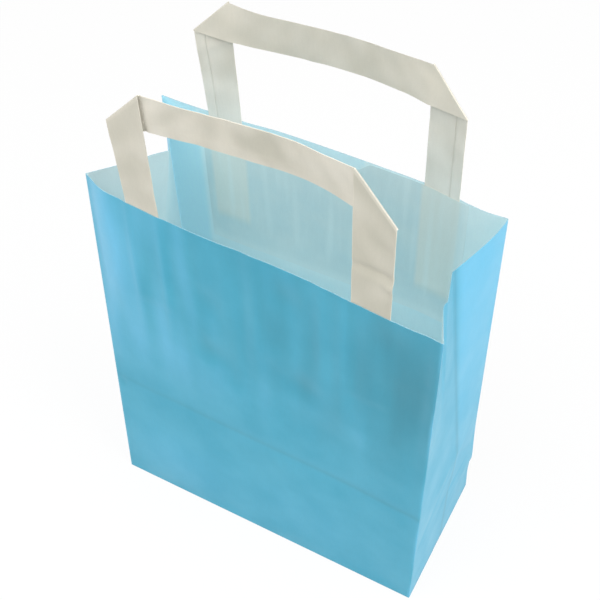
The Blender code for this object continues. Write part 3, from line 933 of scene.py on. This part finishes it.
class Tape:
    """Where one handle's tape runs: glued inside its panel, then free above the rim."""

    def __init__(self, y_sign):
        self.y_sign = y_sign
        self.fold_foot = HANDLE_RISES[y_sign] - TAPE_WIDTH
        self.leans = LEG_LEANS[y_sign]
        self.opening = FOLD_OPENINGS[y_sign]
        self.wall_offset = (SHEET_THICKNESS + TAPE_THICKNESS) / 2 + GLUE_GAP
        self.turn = TAPE_THICKNESS + FOLD_GAP

    def across(self, x_sign, share):
        """Place on the panel of a line along a leg, from its outer edge (0) to its inner (1)."""
        low, high = leg_edges(x_sign)
        outer, inner = (low, high) if x_sign < 0 else (high, low)
        return outer + (inner - outer) * share

    def glued(self, x_sign, share, level):
        """A point of the glued stretch of a leg, up to the rim."""
        return inside_point(self.y_sign, self.across(x_sign, share), level, self.wall_offset)

    def free(self, x_sign, share, height):
        """A point of the free stretch of a leg, at a height above the rim."""
        outer_lean, inner_lean = self.leans[0 if x_sign < 0 else 1]
        lean = outer_lean.lerp(inner_lean, share) * (height / self.fold_top(share))
        return self.glued(x_sign, share, PANEL_HEIGHT) + lean + Vector((0.0, 0.0, height))

    def fold_top(self, share):
        """Height of the diagonal fold above the rim, on one line along the tape."""
        return self.fold_foot + TAPE_WIDTH * share

    def leg_rows(self, x_sign, shares):
        """Rows across one leg, from its glued end to its diagonal fold."""
        glued_end = PANEL_HEIGHT - LEG_GLUED_LENGTH
        rows = [
            [self.glued(x_sign, share, level) for share in shares]
            for level in divide([glued_end, PANEL_HEIGHT], TAPE_ROW_STEP)
        ]
        for part_way in divide([0.0, self.fold_foot], TAPE_ROW_STEP)[1:]:
            rise = part_way / self.fold_foot
            rows.append([self.free(x_sign, s, rise * self.fold_top(s)) for s in shares])
        return rows

    def fold_rows(self, x_sign, diagonal):
        """Rows round the 45 degree fold, from the leg's last row to the bar's first."""
        outward = Vector((x_sign, 0.0, 1.0)).normalized()
        inward = Vector((0.0, -self.y_sign, 0.0))
        rows = []
        for i in range(1, FOLD_STEPS + 1):
            angle = pi * i / FOLD_STEPS
            shift = inward * (1 - cos(angle)) + outward * sin(angle)
            rows.append([point + shift * (self.turn / 2) for point in diagonal])
        return rows

    def curl(self, from_leg, share):
        """How far the bar curls away at a distance from its left leg's inner edge."""
        depth, reach = BAR_CURL[self.y_sign]
        return depth * bell(from_leg - CURL_FROM_LEG, reach) * (1 - CURL_LOSS * share)

    def bar_depth(self, x, share):
        """Y of the bar at one place along X, on the line that is `share` up its width."""
        height = self.fold_top(share)
        stand_off = self.opening * (1 - share)
        inner = [self.free(x_sign, 1.0, height) for x_sign in (-1, 1)]
        between = (x - inner[0].x) / (inner[1].x - inner[0].x)
        if 0.0 < between < 1.0:
            low = smooth_curve(BAR_LOW_BOWS[self.y_sign], between)
            top = smooth_curve(BAR_TOP_BOWS[self.y_sign], between)
            leg_depth = inner[0].y + (inner[1].y - inner[0].y) * between
            stand_off += self.curl(x - inner[0].x, share)
            return leg_depth - self.y_sign * (self.turn + stand_off) + low + (top - low) * share
        x_sign = -1 if between <= 0.0 else 1
        edge = inner[0] if x_sign < 0 else inner[1]
        fold = self.free(x_sign, share, height)
        over = (x - fold.x) / (edge.x - fold.x) if share < 1.0 else 1.0
        leg_depth = self.free(x_sign, share + (1 - share) * over, height).y
        if x_sign < 0:
            stand_off += self.curl(x - edge.x, share)
        return leg_depth - self.y_sign * (self.turn + stand_off * over)

    def bar_rows(self, first, last, shares):
        """Rows across the bar, between the last rows of its two folds."""
        count = ceil((last[0] - first[0]).length / TAPE_ROW_STEP)
        rows = []
        for i in range(1, count):
            row = []
            for start, end, share in zip(first, last, shares):
                point = start.lerp(end, i / count)
                point.y = self.bar_depth(point.x, share)
                row.append(point)
            rows.append(row)
        return rows

    def rows(self, shares):
        """Every row across the tape, from the left leg's glued end to the right leg's."""
        left = self.leg_rows(-1, shares)
        left += self.fold_rows(-1, left[-1])
        right = self.leg_rows(1, shares)
        right += self.fold_rows(1, right[-1])
        return left + self.bar_rows(left[-1], right[-1], shares) + right[::-1]


def crinkle(seed, along, share):
    """Small handling creases in a tape."""
    move = 0.0
    for i, (length, waves, rise) in enumerate(CRINKLES):
        move += rise * noise.noise(Vector((along / length, share * waves, seed + 3.0 * i)))
    return move * MM


def tape_dents(y_sign, side, along_mm, share):
    """Outward move of a tape at its own creases and dents."""
    move = 0.0
    for at_side, at, slant, reach, middle, spread, depth in TAPE_DENTS[y_sign]:
        if at_side == side:
            line = along_mm - at - slant * (share - 0.5)
            move += depth * MM * bell(line, reach) * bell(share - middle, spread)
    return move


def tape_soil(y_sign, side, row, share, point):
    """How dark a tape is: darker by stretch, the front handle most, and in soft grey smudges from hands.
    """
    mean, change, length, waves = SMUDGES
    spot = Vector((row * TAPE_ROW_STEP / length, share * waves, 20.0 + y_sign))
    soil_and_shade = SMUDGE_AMOUNT[y_sign] * (mean + change * noise.noise(spot))
    stretch_darkness = TAPE_DARKER_STRETCHES[y_sign][side]
    if y_sign > 0 and side == "left":
        start, ramp = BACK_LEFT_DARKER_FROM
        stretch_darkness *= ease(((point.z - PANEL_HEIGHT) / MM - start) / ramp)
    if y_sign < 0 and side == "bar":
        middle, reach, middle_share, spread, amount = HELD_PLACE
        stretch_darkness += amount * bell(point.x / MM - middle, reach) * bell(share - middle_share, spread)
    return soil_and_shade + stretch_darkness


def sink_past_seam(piece, y_sign):
    """Lower the tape's seam side past the edge of its glued flap, which runs near its outer edge."""
    mesh = piece.data
    half = len(mesh.vertices) // 2
    first_faces_in = mesh.vertices[0].normal.y * y_sign < 0
    seam_side = range(half) if first_faces_in else range(half, 2 * half)
    flap = mesh.attributes["flap"].data
    step = TAPE_FLAP_THICKNESS[y_sign]
    # Every move is worked out first, because normals turn with the corners that have moved
    moves = {i: mesh.vertices[i].normal * flap[i].value * step for i in seam_side}
    for i, move in moves.items():
        mesh.vertices[i].co -= move


def build_handle(name, y_sign, papers):
    """One folded tape: two legs outside, the bar behind them, folded at 45 degrees."""
    tape = Tape(y_sign)
    stops = [0.0, TAPE_RUBBED, TAPE_WIDTH - TAPE_RUBBED, TAPE_WIDTH]
    stops += [TAPE_SEAM - SEAM_STEP, TAPE_SEAM, TAPE_SEAM + SEAM_STEP]
    shares = [place / TAPE_WIDTH for place in divide(stops, TAPE_STEP)]
    rows = tape.rows(shares)
    middle = rows[len(rows) // 2][0].x
    bm = bmesh.new()

    def spot(i, j):
        point, share = rows[i][j].copy(), shares[j]
        free = ease((point.z - PANEL_HEIGHT) / FREE_RAMP)
        on_bar = point.z > PANEL_HEIGHT + tape.fold_top(share) - TAPE_STEP
        side = "bar" if on_bar else ("left" if point.x < middle else "right")
        point.y += crinkle(11.0 + y_sign, i * TAPE_ROW_STEP, share) * free
        up = (point.z - PANEL_HEIGHT) / MM
        point.y += y_sign * tape_dents(y_sign, side, point.x / MM if on_bar else up, share) * free
        # Its edges are painted paler: rubbed, and with a painted highlight
        at_edge = min(share, 1 - share) * TAPE_WIDTH < TAPE_RUBBED / 2
        mean, change, length, waves, amount = TAPE_EDGE_WEAR_AND_HIGHLIGHT
        rubbed = mean + change * noise.noise(Vector((i * length, share * waves, 4.0 + y_sign)))
        past_seam = share * TAPE_WIDTH - TAPE_SEAM
        on_seam = abs(past_seam) < SEAM_STEP / 2
        marks = {
            "lit_and_worn": amount * rubbed if at_edge else 0.0,
            "flap": SEAM_GROOVE[y_sign] if on_seam else float(past_seam > 0),
            "soil_and_shade": tape_soil(y_sign, side, i, share, point),
        }
        # Painted light: the back handle's legs paler towards their foot, where light comes through them
        # from behind
        if y_sign > 0 and side != "bar":
            least, gain, height = LIT_FOOT
            marks["tint"] = least + gain * ease(1 - up / height)
            marks["soil_and_shade"] += SEAM_DARK_LINE[side] if on_seam else 0.0
        return point, (i * TAPE_ROW_STEP, share * TAPE_WIDTH), marks

    place_grid(bm, len(rows) - 1, len(shares) - 1, spot)
    handle = finish_piece(name + "_tape", bm, TAPE_THICKNESS, [papers["tape"]] * 3)
    sink_past_seam(handle, y_sign)
    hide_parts(name)
    return handle


def build_patch(name, y_sign, papers):
    """A thin patch glued over both legs of one handle, on the inside of its panel."""
    on_wall = (SHEET_THICKNESS + PATCH_THICKNESS) / 2 + GLUE_GAP
    lift = TAPE_THICKNESS + GLUE_GAP
    low, high = HANDLE_OFFSET - PATCH_WIDTH / 2, HANDLE_OFFSET + PATCH_WIDTH / 2
    foot = patch_top(y_sign, low) - PATCH_HEIGHT
    columns = divide([low, high], COLUMN_STEP * 0.6)
    shares = divide([0.0, 1.0], LEVEL_STEP / PATCH_HEIGHT)
    glued_end = PANEL_HEIGHT - LEG_GLUED_LENGTH
    bm = bmesh.new()

    def spot(i, j):
        u = columns[i]
        v = foot + (patch_top(y_sign, u) - foot) * shares[j]
        raised = over_leg(u, PATCH_RAMP) * ease((v - glued_end) / PATCH_END_RAMP + 1)
        blends = [amount * ease(1 - shares[j] / ramp) for amount, ramp in PATCH_FOOT_BLENDS]
        blends.append(PATCH_RIGHT_BLEND * ease(1 - (high - u) / PATCH_END_RAMP))
        amount, wide, tall = PATCH_STREAKS
        blends.append(amount * noise.noise(Vector((u / wide, v / tall, 30.0))))
        # Painted light: paler and less blue over a leg, where the tape keeps the print's light from coming
        # through
        marks = {"shade_and_streaks": raised, "tint": max(blends)}
        return inside_point(y_sign, u, v, on_wall + lift * raised), (u, v), marks

    place_grid(bm, len(columns) - 1, len(shares) - 1, spot)
    patch = finish_piece(name + "_sheet", bm, PATCH_THICKNESS, [papers["patch"]] * 3)
    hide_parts(name)
    return patch


def seen_directly(tree, share):
    """`share` for what the camera or a reflection sees, and 0 for light that falls on the bag."""
    rays = add_node(tree, "ShaderNodeLightPath")
    either = add_node(
        tree, "ShaderNodeMath", [(0, rays.outputs["Is Camera Ray"]), (1, rays.outputs["Is Glossy Ray"])],
        operation="MAXIMUM",
    )
    either = add_node(
        tree, "ShaderNodeMath", [(0, either.outputs[0]), (1, rays.outputs["Is Transmission Ray"])],
        operation="MAXIMUM",
    )
    return add_node(
        tree, "ShaderNodeMath", [(0, either.outputs[0])], operation="MULTIPLY", inputs={1: share},
    ).outputs[0]


def build_stage():
    """A white floor that keeps the bag's soft shadow."""
    bm = bmesh.new()
    bmesh.ops.create_grid(bm, x_segments=1, y_segments=1, size=FLOOR_REACH)
    mesh = bpy.data.meshes.new("floor")
    bm.to_mesh(mesh)
    bm.free()
    floor = bpy.data.objects.new("floor", mesh)
    bpy.context.scene.collection.objects.link(floor)
    material, tree, shader = new_material("white_studio_floor", FLOOR_ROUGHNESS)
    shader.inputs["Base Color"].default_value = to_linear(FLOOR_WHITE)
    seen = add_node(tree, "ShaderNodeEmission", inputs={"Strength": 1.0})
    mixed = add_node(
        tree, "ShaderNodeMixShader",
        [(0, seen_directly(tree, FLOOR_GLOW)), (1, shader.outputs[0]), (2, seen.outputs[0])],
    )
    tree.links.new(mixed.outputs[0], tree.nodes["Material Output"].inputs["Surface"])
    mesh.materials.append(material)


def add_area_light(name, place, size, power):
    """A soft square lamp that faces the bag."""
    lamp = bpy.data.lights.new(name, "AREA")
    lamp.size = size
    lamp.energy = power
    holder = bpy.data.objects.new(name, lamp)
    holder.location = place
    holder.rotation_euler = (LAMP_TARGET - Vector(place)).to_track_quat("-Z", "Y").to_euler()
    bpy.context.scene.collection.objects.link(holder)


def light_scene():
    """Plain soft studio light, at which a colour renders about as it is written."""
    world = bpy.data.worlds.new("studio")
    world.use_nodes = True
    tree = world.node_tree
    plain = tree.nodes["Background"]
    plain.inputs["Color"].default_value = (1.0, 1.0, 1.0, 1.0)
    plain.inputs["Strength"].default_value = WORLD_LEVEL
    white = add_node(tree, "ShaderNodeBackground", inputs={"Color": (1.0, 1.0, 1.0, 1.0), "Strength": 1.0})
    mixed = add_node(
        tree, "ShaderNodeMixShader",
        [(0, seen_directly(tree, 1.0)), (1, plain.outputs[0]), (2, white.outputs[0])],
    )
    tree.links.new(mixed.outputs[0], tree.nodes["World Output"].inputs["Surface"])
    bpy.context.scene.world = world
    for name, place, size, power in LAMPS:
        add_area_light(name, place, size, power)
    bpy.context.scene.view_settings.view_transform = "Standard"


def add_camera():
    """The photograph's view: from above the front right, with its small shift."""
    azimuth, elevation = radians(CAMERA_AZIMUTH), radians(CAMERA_ELEVATION)
    back = Vector((sin(azimuth) * cos(elevation), -cos(azimuth) * cos(elevation), sin(elevation)))
    right = Vector((cos(azimuth), sin(azimuth), 0.0))
    turn = Matrix((right, back.cross(right), back)).transposed()
    data = bpy.data.cameras.new("camera")
    data.sensor_width = SENSOR_MM
    data.lens = LENS_MM
    data.shift_x, data.shift_y = SHIFT
    camera = bpy.data.objects.new("camera", data)
    camera.matrix_world = Matrix.Translation(turn @ CAMERA_PLACE) @ turn.to_4x4()
    bpy.context.scene.collection.objects.link(camera)
    bpy.context.scene.camera = camera


def main():
    papers = make_papers()
    pieces = [build_bag(papers)]
    for side, y_sign in (("front", -1), ("back", 1)):
        pieces.append(build_handle(side + "_handle", y_sign, papers))
        pieces.append(build_patch(side + "_handle_patch", y_sign, papers))
    for piece in pieces:
        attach(piece, "root")
    build_stage()
    light_scene()
    add_camera()


main()
